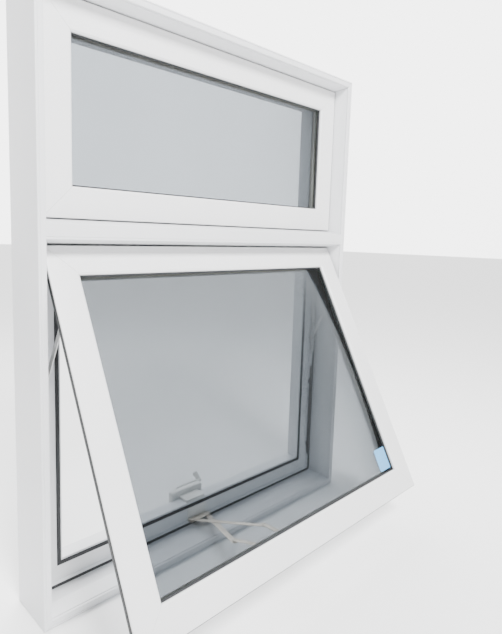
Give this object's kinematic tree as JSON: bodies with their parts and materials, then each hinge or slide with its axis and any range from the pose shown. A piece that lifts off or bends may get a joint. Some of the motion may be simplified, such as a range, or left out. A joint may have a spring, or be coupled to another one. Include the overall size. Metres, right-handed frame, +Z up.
{
  "type": "awning window unit",
  "caption": "White vinyl window unit: fixed light over a top-hung awning sash pushed open by a crank operator with scissor arms, side stays and lever locks.",
  "frame": {"origin": "middle of the sill's flat underside", "axes": "+X along the sill to the right as seen from outdoors, +Y from the weather side into the room, +Z up"},
  "size_m": [1.004, 0.504, 1.307],
  "materials": {
    "frame_vinyl": "satin white extruded vinyl",
    "sash_vinyl": "satin white extruded vinyl, welded and cleaned at the mitres",
    "glass": "clear float glass with a faint grey tint",
    "rubber": "matt black weatherstrip",
    "spacer": "grey warm-edge spacer bar",
    "steel": "bright zinc-plated strip",
    "arm_steel": "stamped steel with a warm zinc plate",
    "dark_metal": "black coated steel",
    "enamel": "off-white enamel on zinc castings"
  },
  "bodies": {
    "frame": {"fixed_bead_bottom": "sash_vinyl", "fixed_bead_left": "sash_vinyl", "fixed_bead_right": "sash_vinyl", "fixed_bead_top": "sash_vinyl", "fixed_gasket": "rubber", "fixed_pane_inner": "glass", "fixed_pane_outer": "glass", "fixed_rail_bottom": "sash_vinyl", "fixed_rail_top": "sash_vinyl", "fixed_seal_outer": "rubber", "fixed_spacer": "spacer", "fixed_stile_left": "sash_vinyl", "fixed_stile_right": "sash_vinyl", "frame_head": "frame_vinyl", "frame_jamb_left": "frame_vinyl", "frame_jamb_right": "frame_vinyl", "frame_sill": "frame_vinyl", "frame_transom": "frame_vinyl", "lock_plate_left": "enamel", "lock_plate_right": "enamel", "operator_cover": "enamel", "operator_gearbox": "enamel", "pivot_pin_left": "steel", "pivot_pin_right": "steel", "stay_track_left": "steel", "stay_track_right": "steel", "vent_seal_inner": "rubber", "vent_seal_outer": "rubber"},
    "sash": {"lock_keeper_left": "dark_metal", "lock_keeper_right": "dark_metal", "operator_bracket": "arm_steel", "stay_arm_left": "steel", "stay_arm_right": "steel", "vent_bead_bottom": "sash_vinyl", "vent_bead_left": "sash_vinyl", "vent_bead_right": "sash_vinyl", "vent_bead_top": "sash_vinyl", "vent_gasket": "rubber", "vent_liner": "rubber", "vent_pane_inner": "glass", "vent_pane_outer": "glass", "vent_rail_bottom": "sash_vinyl", "vent_rail_top": "sash_vinyl", "vent_spacer": "spacer", "vent_stile_left": "sash_vinyl", "vent_stile_right": "sash_vinyl"},
    "carrier": {"operator_carrier": "arm_steel"},
    "tongue": {"operator_tongue": "arm_steel"},
    "crank": {"crank_arm": "enamel"},
    "knob": {"crank_knob": "enamel"},
    "stay_link_left": {"stay_link_left": "steel"},
    "operator_arm_left": {"operator_arm_left": "arm_steel"},
    "operator_link_left": {"operator_link_left": "arm_steel"},
    "lock_lever_left": {"lock_lever_left": "enamel"},
    "lock_tie_bar_left": {"lock_tie_bar_left": "dark_metal"},
    "stay_link_right": {"stay_link_right": "steel"},
    "operator_arm_right": {"operator_arm_right": "arm_steel"},
    "operator_link_right": {"operator_link_right": "arm_steel"},
    "lock_lever_right": {"lock_lever_right": "enamel"},
    "lock_tie_bar_right": {"lock_tie_bar_right": "dark_metal"}
  },
  "joints": [
    {"name": "sash_tilt", "type": "hinge", "parent": "frame", "child": "sash", "pos_m": [0, -0.016, 0.788], "axis": [-1, 0, 0], "range_deg": [-27.5, 0]},
    {"name": "stay_swing_left", "type": "hinge", "parent": "sash", "child": "stay_link_left", "pos_m": [-0.4561, -0.05972, 0.63038], "axis": [-1, 0, 0], "range_deg": [0, 56.61]},
    {"name": "stay_swing_right", "type": "hinge", "parent": "sash", "child": "stay_link_right", "pos_m": [0.4561, -0.05972, 0.63038], "axis": [-1, 0, 0], "range_deg": [0, 56.61]},
    {"name": "carrier_tilt", "type": "hinge", "parent": "frame", "child": "carrier", "pos_m": [-0.022, 0.0195, 0.03625], "axis": [-1, 0, 0], "range_deg": [-13.8, 0]},
    {"name": "arm_swing_left", "type": "hinge", "parent": "carrier", "child": "operator_arm_left", "pos_m": [-0.047, 0.01073, 0.04088], "axis": [0, 0.193, 0.9812], "range_deg": [0, 67.76]},
    {"name": "arm_swing_right", "type": "hinge", "parent": "carrier", "child": "operator_arm_right", "pos_m": [0.003, 0.01038, 0.03911], "axis": [0, 0.193, 0.9812], "range_deg": [-67.76, 0]},
    {"name": "tongue_tilt", "type": "hinge", "parent": "sash", "child": "tongue", "pos_m": [-0.022, -0.32857, 0.11392], "axis": [-1, 0, 0], "range_deg": [0, 13.8]},
    {"name": "link_swing_left", "type": "hinge", "parent": "tongue", "child": "operator_link_left", "pos_m": [-0.042, -0.34378, 0.11431], "axis": [0, 0.193, 0.9812], "range_deg": [0, 77.55]},
    {"name": "link_swing_right", "type": "hinge", "parent": "tongue", "child": "operator_link_right", "pos_m": [-0.002, -0.34378, 0.11431], "axis": [0, 0.193, 0.9812], "range_deg": [-77.55, 0]},
    {"name": "crank_turn", "type": "hinge", "parent": "frame", "child": "crank", "pos_m": [-0.022, 0.0896, 0.074], "axis": [0, 0.788, 0.6157], "range_deg": [-1651, 0]},
    {"name": "knob_spin", "type": "hinge", "parent": "crank", "child": "knob", "pos_m": [0.056, 0.10954, 0.08958], "axis": [0, 0.788, 0.6157], "continuous": true},
    {"name": "lock_turn_left", "type": "hinge", "parent": "frame", "child": "lock_lever_left", "pos_m": [-0.46, 0.0778, 0.215], "axis": [-1, 0, 0], "range_deg": [0, 150]},
    {"name": "tie_bar_slide_left", "type": "slide", "parent": "frame", "child": "lock_tie_bar_left", "axis": [0, 0, 1], "range_m": [-0.0301, 0]},
    {"name": "lock_turn_right", "type": "hinge", "parent": "frame", "child": "lock_lever_right", "pos_m": [0.46, 0.0778, 0.215], "axis": [-1, 0, 0], "range_deg": [0, 150]},
    {"name": "tie_bar_slide_right", "type": "slide", "parent": "frame", "child": "lock_tie_bar_right", "axis": [0, 0, 1], "range_m": [-0.0301, 0]}
  ],
  "couplings": [
    {"joint": "stay_swing_left", "follows": "sash_tilt", "ratio": -2.0568},
    {"joint": "stay_swing_right", "follows": "sash_tilt", "ratio": -2.0568},
    {"joint": "carrier_tilt", "follows": "sash_tilt", "ratio": 0.5},
    {"joint": "arm_swing_left", "follows": "sash_tilt", "ratio": -2.4621},
    {"joint": "arm_swing_right", "follows": "sash_tilt", "ratio": 2.4621},
    {"joint": "tongue_tilt", "follows": "sash_tilt", "ratio": -0.5},
    {"joint": "link_swing_left", "follows": "sash_tilt", "ratio": -2.8181},
    {"joint": "link_swing_right", "follows": "sash_tilt", "ratio": 2.8181},
    {"joint": "crank_turn", "follows": "sash_tilt", "ratio": 60},
    {"joint": "tie_bar_slide_left", "follows": "lock_turn_left", "m_per_rad": -0.011459},
    {"joint": "tie_bar_slide_right", "follows": "lock_turn_right", "m_per_rad": -0.011459}
  ]
}
